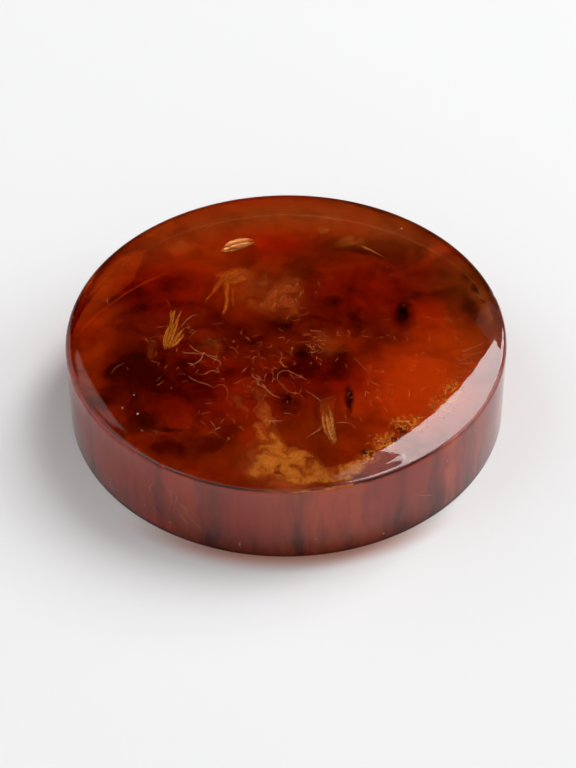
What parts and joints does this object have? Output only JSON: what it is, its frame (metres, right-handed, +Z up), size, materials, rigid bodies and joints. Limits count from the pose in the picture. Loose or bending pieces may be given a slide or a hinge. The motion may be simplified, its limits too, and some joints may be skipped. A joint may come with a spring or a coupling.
{
  "type": "amber specimen",
  "caption": "Round polished disc of dark red amber with a domed top, a flat underside and scraps of plant sealed in it.",
  "frame": {"origin": "middle of the flat underside, on the surface the disc lies on", "axes": "+Z up through the disc, along the axis it was turned and polished about; +Y away from the picture's viewpoint; +X to the viewer's right"},
  "size_m": [0.04, 0.04, 0.0093],
  "materials": {
    "amber": "hand polished, clear to smoky",
    "plant_gold": "fibrous, dull",
    "plant_pale": "thin and papery, with a glint"
  },
  "bodies": {
    "root": {"amber_lower": "amber", "amber_upper": "amber", "leaf_scale": "plant_gold", "bract_sliver": "plant_gold", "pale_flake": "plant_pale", "pale_sliver": "plant_pale"}
  },
  "joints": []
}
